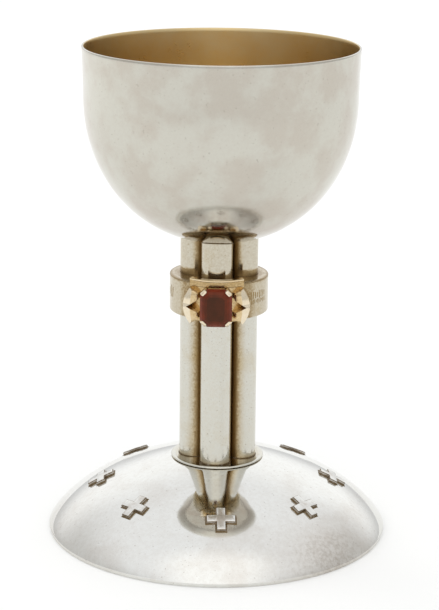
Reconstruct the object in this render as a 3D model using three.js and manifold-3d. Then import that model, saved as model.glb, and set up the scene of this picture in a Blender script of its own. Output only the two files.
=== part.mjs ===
// A silver chalice: a deep cup with a gilt inside, carried by four round columns that a
// collar holds together, on a domed round foot laid with eight small crosses.
// A gold setting on the front of the collar holds a dark red step-cut stone.
// Millimetres, +Z up, the front faces -Y, and the origin is the middle of the foot's underside.

import * as THREE from "three";
import { mergeVertices } from "three/addons/utils/BufferGeometryUtils.js";
import Module from "manifold-3d";

const wasm = await Module();
wasm.setup();

// Foot: a domed shell on a flat bearing ring, with a flat seat for the dish on its crown.
const FOOT_RADIUS = 66.3;
const FOOT_EDGE_HEIGHT = 1.2;
const FOOT_DOME_RISE = 26.6;
const FOOT_WALL = 1.2;
const FOOT_BEARING_WIDTH = 2.6;
const FOOT_EDGE_CHAMFER = 0.3;
const FOOT_CROWN_POWER = 2.4;
const FOOT_SIDE_POWER = 1.2;
const FOOT_SHOULDER_WIDTH = 21;
const FOOT_SHOULDER_POWER = 1.5;

// Dish: a thin disc with a raised lip.
const DISH_OVERHANG = 3.1;
const DISH_FLOOR_HEIGHT = 1.3;
const DISH_THICKNESS = 0.5;
const DISH_LIP_RISE = 0.3;
const DISH_LIP_WIDTH = 1.9;
const DISH_EDGE_ROUND = 0.2;

// Columns: four upright rounds set in a square, each a little clear of the next.
const COLUMN_RADIUS = 6;
const COLUMN_SPACE = 0.73;
const COLUMN_LENGTH = 86.3;
const COLUMN_TURN_DEG = -5;

// Collar: a short drum that the columns pass through.
const COLLAR_BAND = 4;
const COLLAR_HEIGHT = 14.2;
const COLLAR_RISE = 59.3;
const COLLAR_CORE_RADIUS = 8;
const COLLAR_EDGE_ROUND = 0.5;

// Bowl: a nearly upright wall above a round bottom.
const BOWL_BELLY_RADIUS = 51.9;
const BOWL_RIM_FLARE = 0.45;
const BOWL_SIDE_HEIGHT = 18.5;
const BOWL_ROUND_DEPTH = 56.1;
const BOWL_WALL = 0.8;
const BOWL_RIM_ROUND = 0.2;
const BOWL_ROUND_POWER = 2.08;

// Crosses: equal arms, one along the radius and one across it.
const CROSS_COUNT = 8;
const CROSS_SPAN = 10.9;
const CROSS_ARM_WIDTH = 3.5;
const CROSS_THICKNESS = 1.3;
const CROSS_BEVEL = 0.35;
const CROSS_FROM_FOOT_EDGE = 20.8;
const CROSS_TURN_DEG = 2.2;

// Setting: a plate bent round the collar, with a top bar, two wings, a seat and four claws.
const SETTING_TURN_DEG = -2.5;
const SETTING_DROP = 0.95;
const PLATE_HALF_WIDTH = 10.2;
const PLATE_THICKNESS = 1.2;
const PLATE_BELOW = 6.4;
const PLATE_ABOVE = 10.4;
const BAR_HEIGHT = 1.3;
const BAR_PROUD = 0.6;
const WING_REACH = 12.7;
const WING_HALF_HEIGHT = 6.9;
const WING_TIP_REACH = 10.2;
const WING_INNER_REACH = 7.9;
const WING_NOTCH_REACH = 11.4;
const WING_NOTCH_HALF_HEIGHT = 1.8;
const WING_PROUD = 3.3;
const WING_BEVEL = 1.1;
const SEAT_INSET = 0.5;
const CLAW_LENGTH = 2.9;
const CLAW_WIDTH = 1.4;
const CLAW_OVERLAP = 0.7;
const CLAW_ABOVE_GIRDLE = 1.15;
const CLAW_ROOT = 1;

// Stone: an upright octagon with two steps up to its table and one below its girdle.
const STONE_WIDTH = 12.1;
const STONE_HEIGHT = 14.7;
const STONE_CORNER = 2.7;
const STONE_GIRDLE_PROUD = 4;
const STONE_GIRDLE = 0.5;
const STONE_PAVILION_DEPTH = 1.3;
const STONE_PAVILION_INSET = 1.4;
const STONE_STEP_RISE = [0.95, 0.6, 0.3];
const STONE_STEP_INSET = [0.9, 0.95, 0.85];

// Seam is the hairline where flat faces meet, and gap is kept where one piece is cut to another.
const SEAM = 0.1;
const GAP = 0.3;

// Sides of the round pieces, and points along their curved profiles.
const FOOT_SIDES = 64;
const BOWL_SIDES = 60;
const COLLAR_SIDES = 48;
const COLUMN_SIDES = 32;
const DOME_POINTS = 9;
const BOWL_POINTS = 10;

// Sizes that follow from the ones above.
const HALF_TURN = Math.PI;
const QUARTER_TURN = Math.PI / 2;
const columnOffset = (2 * COLUMN_RADIUS + COLUMN_SPACE) / Math.SQRT2;
const stemRadius = columnOffset + COLUMN_RADIUS;
const footTop = FOOT_EDGE_HEIGHT + FOOT_DOME_RISE;
const dishRadius = stemRadius + DISH_OVERHANG;
const dishFloor = footTop + DISH_FLOOR_HEIGHT;
const dishLipTop = dishFloor + DISH_LIP_RISE;
const dishUnder = dishFloor - DISH_THICKNESS;
const footSeat = dishUnder - SEAM;
const collarBottom = dishFloor + COLLAR_RISE;
const collarTop = collarBottom + COLLAR_HEIGHT;
const collarRadius = stemRadius + COLLAR_BAND;
const crossCircleRadius = FOOT_RADIUS - CROSS_FROM_FOOT_EDGE;
const bowlBottom = dishFloor + COLUMN_LENGTH;
const bowlBelly = bowlBottom + BOWL_ROUND_DEPTH;
const bowlRim = bowlBelly + BOWL_SIDE_HEIGHT;
const bowlRimRadius = BOWL_BELLY_RADIUS + BOWL_RIM_FLARE;
const settingMiddle = (collarBottom + collarTop) / 2 - SETTING_DROP;
const girdleRadius = collarRadius + STONE_GIRDLE_PROUD;
const seatFront = girdleRadius - STONE_PAVILION_DEPTH - SEAM;

const silver = { color: 0xd8d6d0, metalness: 1, roughness: 0.28 };
const gold = { color: 0xd9ad6b, metalness: 1, roughness: 0.24 };
const garnetRed = { color: 0x4a1210, metalness: 0, roughness: 0.08 };

function radians(degrees) {
  return (degrees * Math.PI) / 180;
}

function rowOf(count, place) {
  return Array.from({ length: count }, (unused, i) => place(i));
}

// Shared vertices merged, so that the geometry is one closed surface.
function closed(geometry) {
  const bare = geometry.clone();
  bare.deleteAttribute("normal");
  bare.deleteAttribute("uv");
  return mergeVertices(bare, 1e-4);
}

function solidOf(geometry) {
  const merged = closed(geometry);
  return new wasm.Manifold(
    new wasm.Mesh({
      numProp: 3,
      vertProperties: merged.attributes.position.array,
      triVerts: new Uint32Array(merged.index.array),
    }),
  );
}

function geometryOf(solid) {
  const mesh = solid.getMesh();
  const geometry = new THREE.BufferGeometry();
  geometry.setAttribute("position", new THREE.BufferAttribute(mesh.vertProperties, 3));
  geometry.setIndex(new THREE.BufferAttribute(mesh.triVerts, 1));
  geometry.computeVertexNormals();
  return geometry;
}

// A profile of [radius, height] points, from the bottom of the axis round the outside to its top.
function turned(profile, sides) {
  const points = profile.map(([radius, height]) => new THREE.Vector2(radius, height));
  return new THREE.LatheGeometry(points, sides).rotateX(QUARTER_TURN);
}

function cylinder(radius, bottom, top, sides) {
  const geometry = new THREE.CylinderGeometry(radius, radius, top - bottom, sides);
  return geometry.rotateX(QUARTER_TURN).translate(0, 0, (top + bottom) / 2);
}

function box(width, depth, height, x, y, z) {
  return new THREE.BoxGeometry(width, depth, height).translate(x, y, z);
}

// A profile that runs upwards, moved inwards by a distance, or outwards by a negative one.
function shifted(profile, distance) {
  return profile.map(([radius, height], i) => {
    const [r0, h0] = profile[Math.max(i - 1, 0)];
    const [r1, h1] = profile[Math.min(i + 1, profile.length - 1)];
    const length = Math.hypot(r1 - r0, h1 - h0);
    const across = radius === 0 ? 0 : (-(h1 - h0) / length) * distance;
    const along = radius === 0 ? Math.sign(r1 - r0) * distance : ((r1 - r0) / length) * distance;
    return [radius + across, height + along];
  });
}

function domeHeight(radius) {
  const share = Math.pow(radius / FOOT_RADIUS, FOOT_CROWN_POWER);
  return FOOT_EDGE_HEIGHT + FOOT_DOME_RISE * Math.pow(1 - share, 1 / FOOT_SIDE_POWER);
}

function domeSlope(radius) {
  const step = 0.01;
  return (domeHeight(radius + step) - domeHeight(radius - step)) / (2 * step);
}

// The outside of the dome, from its edge up to the axis.
function domeProfile() {
  return rowOf(DOME_POINTS + 1, (i) => {
    const turn = QUARTER_TURN * (1 - i / DOME_POINTS);
    const radius = FOOT_RADIUS * Math.pow(Math.sin(turn), 2 / FOOT_CROWN_POWER);
    return [radius, i === 0 ? FOOT_EDGE_HEIGHT : domeHeight(radius)];
  });
}

// The outside of the bowl, from the axis at its bottom up to the rim.
function bowlProfile() {
  const round = rowOf(BOWL_POINTS, (i) => {
    const turn = (QUARTER_TURN * i) / BOWL_POINTS;
    const radius = BOWL_BELLY_RADIUS * Math.pow(Math.sin(turn), 2 / BOWL_ROUND_POWER);
    const drop = BOWL_ROUND_DEPTH * Math.pow(Math.cos(turn), 2 / BOWL_ROUND_POWER);
    return [radius, bowlBelly - drop];
  });
  return [...round, [BOWL_BELLY_RADIUS, bowlBelly], [bowlRimRadius, bowlRim]];
}

function foot() {
  const dome = domeProfile();
  const shoulder = footSeat - domeHeight(dishRadius);
  const outside = dome
    .filter(([radius]) => radius > dishRadius)
    .map(([radius, height]) => {
      const left = Math.max(0, 1 - (radius - dishRadius) / FOOT_SHOULDER_WIDTH);
      return [radius, height + shoulder * Math.pow(left, FOOT_SHOULDER_POWER)];
    });
  const bearingRadius = FOOT_RADIUS - FOOT_BEARING_WIDTH;
  const lining = shifted(dome, FOOT_WALL).filter(([radius]) => radius < bearingRadius);
  const [nextRadius, nextHeight] = lining[0];
  const fall = domeSlope(nextRadius) * (bearingRadius - nextRadius);
  const bearingTop = Math.max(nextHeight + fall, FOOT_EDGE_HEIGHT);
  return turned(
    [
      ...lining.reverse(),
      [bearingRadius, bearingTop],
      [bearingRadius, 0],
      [FOOT_RADIUS - FOOT_EDGE_CHAMFER, 0],
      [FOOT_RADIUS, FOOT_EDGE_CHAMFER],
      ...outside,
      [dishRadius, footSeat],
      [0, footSeat],
    ],
    FOOT_SIDES,
  );
}

function stemDish() {
  return turned(
    [
      [0, dishUnder],
      [dishRadius - DISH_EDGE_ROUND, dishUnder],
      [dishRadius, dishUnder + DISH_EDGE_ROUND],
      [dishRadius, dishLipTop - DISH_EDGE_ROUND],
      [dishRadius - DISH_EDGE_ROUND, dishLipTop],
      [dishRadius - DISH_LIP_WIDTH, dishFloor],
      [0, dishFloor],
    ],
    COLLAR_SIDES,
  );
}

function bowl() {
  const outside = bowlProfile();
  const lining = shifted(outside, BOWL_WALL);
  lining[lining.length - 1] = [bowlRimRadius - BOWL_WALL, bowlRim - BOWL_RIM_ROUND];
  outside[outside.length - 1] = [bowlRimRadius, bowlRim - BOWL_RIM_ROUND];
  return turned(
    [
      ...outside,
      [bowlRimRadius - BOWL_RIM_ROUND, bowlRim],
      [bowlRimRadius - BOWL_WALL + BOWL_RIM_ROUND, bowlRim],
      ...lining.reverse(),
    ],
    BOWL_SIDES,
  );
}

// Stands in the place of the bowl and of the space that is kept round it.
function bowlRoom() {
  return solidOf(turned([...shifted(bowlProfile(), -GAP), [0, bowlRim]], BOWL_SIDES));
}

function columnPlace(turn) {
  const angle = radians(COLUMN_TURN_DEG) + turn;
  return [columnOffset * Math.cos(angle), columnOffset * Math.sin(angle)];
}

function column(turn) {
  const [x, y] = columnPlace(turn);
  const bottom = dishFloor + SEAM;
  const blank = cylinder(COLUMN_RADIUS, bottom, bowlBelly, COLUMN_SIDES).translate(x, y, 0);
  return geometryOf(solidOf(blank).subtract(bowlRoom()));
}

function knopRing() {
  const drum = turned(
    [
      [0, collarBottom],
      [collarRadius - COLLAR_EDGE_ROUND, collarBottom],
      [collarRadius, collarBottom + COLLAR_EDGE_ROUND],
      [collarRadius, collarTop - COLLAR_EDGE_ROUND],
      [collarRadius - COLLAR_EDGE_ROUND, collarTop],
      [0, collarTop],
    ],
    COLLAR_SIDES,
  );
  const low = collarBottom - 1;
  const high = collarTop + 1;
  let ring = solidOf(drum).subtract(
    solidOf(cylinder(COLLAR_CORE_RADIUS, low, high, COLUMN_SIDES)),
  );
  for (let i = 0; i < 4; i += 1) {
    const [x, y] = columnPlace(i * QUARTER_TURN);
    const bore = cylinder(COLUMN_RADIUS + GAP, low, high, COLUMN_SIDES).translate(x, y, 0);
    ring = ring.subtract(solidOf(bore));
  }
  return geometryOf(ring);
}

function crossShape() {
  const arm = CROSS_SPAN / 2;
  const half = CROSS_ARM_WIDTH / 2;
  const corner = [
    [half, arm],
    [half, half],
    [arm, half],
  ];
  const shape = new THREE.Shape();
  [0, 1, 2, 3].forEach((quarter) => {
    const angle = -quarter * QUARTER_TURN;
    corner.forEach(([x, y], k) => {
      const px = x * Math.cos(angle) - y * Math.sin(angle);
      const py = x * Math.sin(angle) + y * Math.cos(angle);
      if (quarter === 0 && k === 0) shape.moveTo(px, py);
      else shape.lineTo(px, py);
    });
  });
  return shape;
}

// A cross lies square to the dome at its place, and its underside is cut to the dome.
function cross(index) {
  const sink = 2;
  const blank = new THREE.ExtrudeGeometry(crossShape(), {
    depth: CROSS_THICKNESS + sink - CROSS_BEVEL,
    bevelEnabled: true,
    bevelThickness: CROSS_BEVEL,
    bevelSize: CROSS_BEVEL,
    bevelOffset: -CROSS_BEVEL,
    bevelSegments: 1,
    curveSegments: 1,
  });
  const lean = Math.atan(-domeSlope(crossCircleRadius));
  blank.translate(0, 0, -sink).rotateX(lean);
  blank.translate(0, -crossCircleRadius, domeHeight(crossCircleRadius) + GAP);
  blank.rotateZ(radians(CROSS_TURN_DEG) + (index * 2 * HALF_TURN) / CROSS_COUNT);
  const dome = turned([[0, 0], [FOOT_RADIUS + GAP, 0], ...shifted(domeProfile(), -GAP)], FOOT_SIDES);
  return geometryOf(solidOf(blank).subtract(solidOf(dome)));
}

// The stone's outline made smaller by an inset, as eight corners at one distance from the axis.
function octagon(inset, distance) {
  const x = STONE_WIDTH / 2 - inset;
  const z = STONE_HEIGHT / 2 - inset;
  const cut = STONE_CORNER - inset * (2 - Math.SQRT2);
  return [
    [x - cut, z],
    [-(x - cut), z],
    [-x, z - cut],
    [-x, -(z - cut)],
    [-(x - cut), -z],
    [x - cut, -z],
    [x, -(z - cut)],
    [x, z - cut],
  ].map(([px, pz]) => [px, -distance, settingMiddle + pz]);
}

// A closed solid through rings of equal point counts, the first one nearest the axis.
function lofted(rings) {
  const count = rings[0].length;
  const middles = [rings[0], rings[rings.length - 1]].map((ring) =>
    [0, 1, 2].map((k) => ring.reduce((sum, point) => sum + point[k], 0) / count),
  );
  const points = [...rings.flat(), ...middles];
  const faces = [];
  const last = (rings.length - 1) * count;
  for (let i = 0; i < count; i += 1) {
    const next = (i + 1) % count;
    for (let start = 0; start < last; start += count) {
      faces.push(start + i, start + count + next, start + count + i);
      faces.push(start + i, start + next, start + count + next);
    }
    faces.push(points.length - 2, next, i);
    faces.push(points.length - 1, last + i, last + next);
  }
  const geometry = new THREE.BufferGeometry();
  geometry.setAttribute("position", new THREE.Float32BufferAttribute(points.flat(), 3));
  geometry.setIndex(faces);
  geometry.computeVertexNormals();
  return geometry;
}

// The stone, or with room round it the space that the setting keeps for it.
function garnet(room = 0) {
  const rings = [
    octagon(STONE_PAVILION_INSET - room, girdleRadius - STONE_PAVILION_DEPTH - room),
    octagon(-room, girdleRadius),
    octagon(-room, girdleRadius + STONE_GIRDLE),
  ];
  let inset = -room;
  let distance = girdleRadius + STONE_GIRDLE + room;
  STONE_STEP_RISE.forEach((rise, i) => {
    inset += STONE_STEP_INSET[i];
    distance += rise;
    rings.push(octagon(inset, distance));
  });
  return lofted(rings);
}

// A wing's outline, from the tip above round its outer side to the straight inner side.
function wingShape(side) {
  const shape = new THREE.Shape();
  const innerHalfHeight = WING_HALF_HEIGHT - WING_NOTCH_HALF_HEIGHT;
  shape.moveTo(side * WING_TIP_REACH, WING_HALF_HEIGHT);
  shape.quadraticCurveTo(
    side * (2 * WING_REACH - WING_TIP_REACH),
    0,
    side * WING_TIP_REACH,
    -WING_HALF_HEIGHT,
  );
  shape.lineTo(side * WING_INNER_REACH, -innerHalfHeight);
  shape.lineTo(side * WING_INNER_REACH, innerHalfHeight);
  return shape;
}

// The pointed notch that opens a wing towards the stone.
function notchShape(side) {
  const shape = new THREE.Shape();
  const run = WING_NOTCH_REACH - WING_INNER_REACH;
  const mouth = WING_INNER_REACH - run;
  shape.moveTo(side * WING_NOTCH_REACH, 0);
  shape.lineTo(side * mouth, 2 * WING_NOTCH_HALF_HEIGHT);
  shape.lineTo(side * mouth, -2 * WING_NOTCH_HALF_HEIGHT);
  return shape;
}

// A shape drawn on the front of the setting, made solid between two distances from the axis.
function frontSolid(shape, back, front, bevel) {
  const geometry = new THREE.ExtrudeGeometry(shape, {
    depth: front - back - bevel,
    bevelEnabled: bevel > 0,
    bevelThickness: bevel,
    bevelSize: bevel,
    bevelOffset: -bevel,
    bevelSegments: 1,
    curveSegments: 5,
  });
  return solidOf(
    geometry.translate(0, 0, back).rotateX(QUARTER_TURN).translate(0, 0, settingMiddle),
  );
}

function wing(side) {
  const front = collarRadius + WING_PROUD;
  const plateFront = collarRadius + GAP + PLATE_THICKNESS;
  const blank = frontSolid(wingShape(side), collarRadius / 2, front, WING_BEVEL);
  return blank.subtract(frontSolid(notchShape(side), plateFront, 2 * front, 0));
}

// The part of a tube round the collar that lies in front, within the plate's width.
function frontOfTube(thickness, bottom, top) {
  const tube = solidOf(cylinder(collarRadius + GAP + thickness, bottom, top, COLLAR_SIDES));
  const reach = 2 * collarRadius;
  const front = box(2 * PLATE_HALF_WIDTH, reach, 2 * reach, 0, -reach / 2, settingMiddle);
  return tube.intersect(solidOf(front));
}

function claw(sideX, sideZ) {
  const back = seatFront - CLAW_ROOT;
  const front = girdleRadius + STONE_GIRDLE + CLAW_ABOVE_GIRDLE;
  const outward = (CLAW_WIDTH / 2 - CLAW_OVERLAP) / Math.SQRT2;
  const x = sideX * (STONE_WIDTH / 2 - STONE_CORNER / 2 + outward);
  const z = sideZ * (STONE_HEIGHT / 2 - STONE_CORNER / 2 + outward);
  return new THREE.BoxGeometry(CLAW_LENGTH, front - back, CLAW_WIDTH)
    .rotateY((sideX * sideZ * HALF_TURN) / 4)
    .translate(x, -(front + back) / 2, settingMiddle + z);
}

function jewelSetting() {
  const top = settingMiddle + PLATE_ABOVE;
  const bottom = settingMiddle - PLATE_BELOW;
  const seat = lofted([
    octagon(SEAT_INSET, collarRadius),
    octagon(SEAT_INSET, seatFront),
  ]);
  const clawSides = [
    [-1, -1],
    [-1, 1],
    [1, -1],
    [1, 1],
  ];
  let setting = frontOfTube(PLATE_THICKNESS, bottom, top);
  setting = setting.add(frontOfTube(PLATE_THICKNESS + BAR_PROUD, top - BAR_HEIGHT, top));
  setting = setting.add(wing(-1)).add(wing(1));
  [seat, ...clawSides.map(([x, z]) => claw(x, z))].forEach((piece) => {
    setting = setting.add(solidOf(piece));
  });
  const collarRoom = cylinder(collarRadius + GAP, 0, 2 * settingMiddle, COLLAR_SIDES);
  return geometryOf(setting.subtract(solidOf(collarRoom)).subtract(solidOf(garnet(GAP / 2))));
}

function named(name, geometry, finish) {
  const mesh = new THREE.Mesh(geometry, new THREE.MeshStandardMaterial(finish));
  mesh.name = name;
  return mesh;
}

const chalice = new THREE.Group();
chalice.add(named("foot", foot(), silver));
chalice.add(named("stem_dish", stemDish(), silver));
["column_right", "column_back", "column_left", "column_front"].forEach((name, i) => {
  chalice.add(named(name, column(i * QUARTER_TURN), silver));
});
chalice.add(named("knop_ring", knopRing(), silver));
chalice.add(named("bowl", bowl(), silver));
for (let i = 0; i < CROSS_COUNT; i += 1) {
  chalice.add(named(`cross_${i + 1}`, cross(i), silver));
}

const jewel = new THREE.Group();
jewel.add(named("jewel_setting", jewelSetting(), gold));
jewel.add(named("garnet", garnet(), garnetRed));
jewel.rotation.z = radians(SETTING_TURN_DEG);
chalice.add(jewel);

export default chalice;
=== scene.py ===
"""A silver chalice with a gilt inside, a jewelled collar and a foot laid with crosses."""

import math

import bpy
from bpy.props import FloatProperty, FloatVectorProperty, IntProperty, PointerProperty
from mathutils import Matrix, Vector


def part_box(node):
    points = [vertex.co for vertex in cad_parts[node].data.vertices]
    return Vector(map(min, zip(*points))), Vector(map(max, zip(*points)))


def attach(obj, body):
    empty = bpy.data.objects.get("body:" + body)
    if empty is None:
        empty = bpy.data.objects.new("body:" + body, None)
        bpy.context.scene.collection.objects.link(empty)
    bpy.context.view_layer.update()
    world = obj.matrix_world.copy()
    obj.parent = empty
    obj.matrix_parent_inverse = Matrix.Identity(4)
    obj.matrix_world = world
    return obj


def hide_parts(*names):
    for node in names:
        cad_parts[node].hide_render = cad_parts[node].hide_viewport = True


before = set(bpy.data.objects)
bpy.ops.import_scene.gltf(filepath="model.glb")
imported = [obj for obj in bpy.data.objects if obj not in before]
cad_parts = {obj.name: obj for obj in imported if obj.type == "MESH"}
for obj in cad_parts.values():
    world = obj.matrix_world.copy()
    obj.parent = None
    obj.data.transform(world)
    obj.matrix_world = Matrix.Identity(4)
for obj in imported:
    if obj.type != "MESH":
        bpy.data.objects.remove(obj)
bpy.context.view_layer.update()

bl_info = {
    "name": "Chalice",
    "version": (1, 0, 0),
    "blender": (4, 5, 0),
    "location": "View3D > Sidebar > Chalice",
    "description": "Dresses the solids of a chalice in silver, gilding, gold and garnet",
    "category": "Object",
}

MM = 0.001
TAU = 2 * math.pi


def box_mm(node):
    """The lowest and highest corner of a solid, in millimetres."""
    low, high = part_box(node)
    return low / MM, high / MM


_, FOOT_HIGH = box_mm("foot")
DISH_LOW, DISH_HIGH = box_mm("stem_dish")
RING_LOW, RING_HIGH = box_mm("knop_ring")
BOWL_LOW, BOWL_HIGH = box_mm("bowl")

# The curves of the dome, of its soft shoulder round the dish, and of the bowl.
DOME_POWER = 2.4
DOME_CROWN_POWER = 1.2
SHOULDER_WIDTH = 21.0
SHOULDER_POWER = 1.5
LINING_TOP = 26.6
BOWL_POWER = 2.08


def linear(hex_colour):
    """An sRGB hex colour as linear red, green and blue."""
    channels = [int(hex_colour[i : i + 2], 16) / 255 for i in (1, 3, 5)]
    return tuple(
        c / 12.92 if c <= 0.04045 else ((c + 0.055) / 1.055) ** 2.4 for c in channels
    )


def length(name, description, default):
    """A length property, kept in metres and given here in millimetres."""
    return FloatProperty(
        name=name,
        description=description,
        default=default * MM,
        min=0.0,
        unit="LENGTH",
        subtype="DISTANCE",
    )


def colour(name, description, hex_colour):
    """A colour property, given as an sRGB hex value."""
    return FloatVectorProperty(
        name=name,
        description=description,
        default=linear(hex_colour),
        size=3,
        min=0.0,
        max=1.0,
        subtype="COLOR",
    )


class ChaliceSizes(bpy.types.PropertyGroup):
    foot_radius: length("Foot radius", "From the axis to the foot's edge", FOOT_HIGH.x)
    foot_edge: length("Foot edge", "Height of the foot's upright edge", 1.2)
    foot_rise: length("Dome rise", "Rise of the dome above its edge", 26.6)
    foot_wall: length("Foot wall", "Thickness of the foot's shell", 1.2)
    foot_bearing: length("Bearing", "Width of the ring that the foot stands on", 2.6)
    dish_radius: length("Dish radius", "From the axis to the dish's lip", DISH_HIGH.x)
    dish_lip: length("Dish lip", "Width of the dish's raised lip", 1.9)
    column_radius: length("Column radius", "Radius of each column", 6.0)
    column_offset: length("Column offset", "From the axis to a column's middle", 9.0)
    collar_radius: length("Collar radius", "Radius of the collar", RING_HIGH.x)
    bowl_belly: length("Belly radius", "Radius where the bowl's wall begins", 51.9)
    bowl_rim: length("Rim radius", "Radius of the bowl's rim", BOWL_HIGH.x)
    bowl_side: length("Wall height", "Height of the bowl's upright wall", 18.5)
    bowl_wall: length("Bowl wall", "Thickness of the bowl", 0.8)
    cross_span: length("Cross span", "Length of a cross from end to end", 10.9)
    cross_arm: length("Cross arm", "Width of a cross's arm", 3.5)
    cross_rise: length("Cross rise", "Height of a cross above the foot", 1.25)
    cross_circle: length("Cross circle", "From the axis to a cross's middle", 45.5)
    stone_width: length("Stone width", "Width of the stone", 12.1)
    stone_height: length("Stone height", "Height of the stone", 14.7)
    stone_corner: length("Stone corner", "Length cut from the stone's corners", 2.7)
    sides: IntProperty(
        name="Sides",
        description="Sides of the large round pieces",
        default=192,
        min=24,
        max=512,
    )


class ChaliceFinish(bpy.types.PropertyGroup):
    silver: colour("Silver", "Clean polished silver", "#e3e3df")
    worn_silver: colour("Worn silver", "The bowl's satin silver", "#cccac0")
    tube_silver: colour("Tube silver", "The tubes' polished silver", "#d2d1c9")
    # Warm silver: clouds of thin tarnish, and the warm tone of the painted shade in corners.
    warm_silver: colour("Warm silver", "Silver with its first thin tarnish", "#bcb1a5")
    # Golden brown: clouds of tarnish, and the warm tone of the painted shade between the tubes.
    golden_tarnish: colour("Golden tarnish", "Tarnish between the tubes", "#b8a274")
    # Dark brown: pits, and the painted shade between the tubes and in the collar's cuts.
    groove_tarnish: colour("Groove tarnish", "Old tarnish between the tubes", "#846a42")
    # Brown: tarnish specks, and the painted shade in corners and in the solder's painted shadow.
    tarnish: colour("Tarnish", "Brown tarnish in the corners", "#6a583c")
    gilding: colour("Gilding", "The bowl's gilt inside", "#d8be8b")
    dull_gilding: colour("Dull gilding", "Worn and dulled gilding", "#d2c8a8")
    gold: colour("Gold", "The setting's pale gold", "#ebdfc8")
    # Painted shade in its warm half tone: the yellow on the setting's inner faces.
    yellow_gold: colour("Yellow gold", "Gold on the setting's inner faces", "#c9a766")
    # Painted shade: the gold in the setting's corners and notches.
    deep_gold: colour("Deep gold", "Gold in the setting's corners", "#7a5c30")
    garnet: colour("Garnet", "The stone's dark red", "#7d2a14")
    garnet_depth: colour("Garnet depth", "The stone where no light passes", "#2c1b11")
    floor: colour("Floor", "The pale floor", "#e9e9e7")


def smoothstep(low, high, value):
    share = min(max((value - low) / (high - low), 0.0), 1.0)
    return share * share * (3 - 2 * share)


def plain_dome(sizes, radius):
    """Height of the dome without its shoulder at a radius, in millimetres."""
    share = min(radius / (sizes.foot_radius / MM), 1.0) ** DOME_POWER
    rise = sizes.foot_rise / MM * (1 - share) ** (1 / DOME_CROWN_POWER)
    return sizes.foot_edge / MM + rise


def dome_height(sizes, radius):
    """Height of the foot's outside at a radius: the dome, with a flat seat on top."""
    seat = sizes.dish_radius / MM
    outside = max(radius, seat)
    left = max(0.0, 1 - (outside - seat) / SHOULDER_WIDTH)
    lift = (FOOT_HIGH.z - plain_dome(sizes, seat)) * left**SHOULDER_POWER
    return plain_dome(sizes, outside) + lift


def dome_slope(sizes, radius):
    step = 0.02
    rise = dome_height(sizes, radius + step) - dome_height(sizes, radius - step)
    return rise / (2 * step)


def dome_profile(sizes, count):
    """The outside of the dome from its edge to the axis, closer where it bends."""
    foot_radius = sizes.foot_radius / MM
    points = []
    for i in range(count + 1):
        turn = TAU / 4 * (1 - i / count)
        radius = foot_radius * math.sin(turn) ** (2 / DOME_POWER)
        points.append((radius, dome_height(sizes, radius)))
    return points


def bowl_height(sizes, radius):
    """Height of the bowl's rounded outside at a radius, in millimetres."""
    belly = BOWL_HIGH.z - sizes.bowl_side / MM
    depth = belly - BOWL_LOW.z
    share = min(radius / (sizes.bowl_belly / MM), 1.0) ** BOWL_POWER
    return belly - depth * (1 - share) ** (1 / BOWL_POWER)


def bowl_profile(sizes, count):
    """The outside of the bowl from the axis at its bottom to its rim."""
    points = []
    for i in range(count + 1):
        turn = TAU / 4 * i / count
        radius = sizes.bowl_belly / MM * math.sin(turn) ** (2 / BOWL_POWER)
        points.append((radius, bowl_height(sizes, radius)))
    points.append((sizes.bowl_rim / MM, BOWL_HIGH.z))
    return points


def shifted(profile, distance):
    """A profile moved to its left by a distance, corner by corner."""
    moved = []
    last = len(profile) - 1
    for i, (radius, height) in enumerate(profile):
        r0, h0 = profile[max(i - 1, 0)]
        r1, h1 = profile[min(i + 1, last)]
        run = math.hypot(r1 - r0, h1 - h0)
        if radius < 1e-6:
            moved.append((0.0, height + math.copysign(distance, r1 - r0)))
        else:
            inward = (h1 - h0) / run * distance
            up = (r1 - r0) / run * distance
            moved.append((radius - inward, height + up))
    return moved


def mesh_piece(name, points, faces, slots=None, painted_shade=None, sharp_deg=35):
    """A new object from points in millimetres, with a painted shade value at each point."""
    mesh = bpy.data.meshes.new(name)
    mesh.from_pydata([(x * MM, y * MM, z * MM) for x, y, z in points], [], faces)
    if slots:
        mesh.polygons.foreach_set("material_index", slots)
    values = painted_shade or [0.0] * len(points)
    mesh.attributes.new("painted_shade", "FLOAT", "POINT").data.foreach_set("value", values)
    mesh.validate()
    mesh.shade_smooth()
    mesh.set_sharp_from_angle(angle=math.radians(sharp_deg))
    mesh.update()
    piece = bpy.data.objects.new(name, mesh)
    bpy.context.scene.collection.objects.link(piece)
    return piece


def in_rings(points, size):
    """The numbers of the points, ring by ring."""
    return [range(start, start + size) for start in range(0, len(points), size)]


def skin(rings, closed=False):
    """Faces from ring to ring, given the numbers of their points; one point is a tip."""
    faces = []
    for low, high in zip(rings, rings[1:] + rings[: int(closed)]):
        count = max(len(low), len(high))
        for k in range(count):
            n = (k + 1) % count
            if len(low) == 1:
                faces.append((low[0], high[n], high[k]))
            elif len(high) == 1:
                faces.append((low[k], low[n], high[0]))
            else:
                faces.append((low[k], low[n], high[n], high[k]))
    return faces


def turned(profile, sides):
    """Points and faces of a profile turned about the axis; ends at radius 0 close."""
    points = []
    rings = []
    for radius, height in profile:
        count = 1 if radius < 1e-6 else sides
        rings.append(range(len(points), len(points) + count))
        for k in range(count):
            angle = TAU * k / count
            points.append((radius * math.cos(angle), radius * math.sin(angle), height))
    return points, skin(rings)


def joined(parts):
    """Several lists of points and faces as one."""
    points = []
    faces = []
    for part_points, part_faces in parts:
        start = len(points)
        points.extend(part_points)
        faces.extend(tuple(start + i for i in face) for face in part_faces)
    return points, faces


def dressed(piece, materials, slot, *nodes):
    """Gives a piece its materials and its body, and hides the solids it stands for. The slot is
    not used.
    """
    for material in materials:
        piece.data.materials.append(material)
    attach(piece, "root")
    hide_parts(*nodes)
    return piece


# Materials


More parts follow.
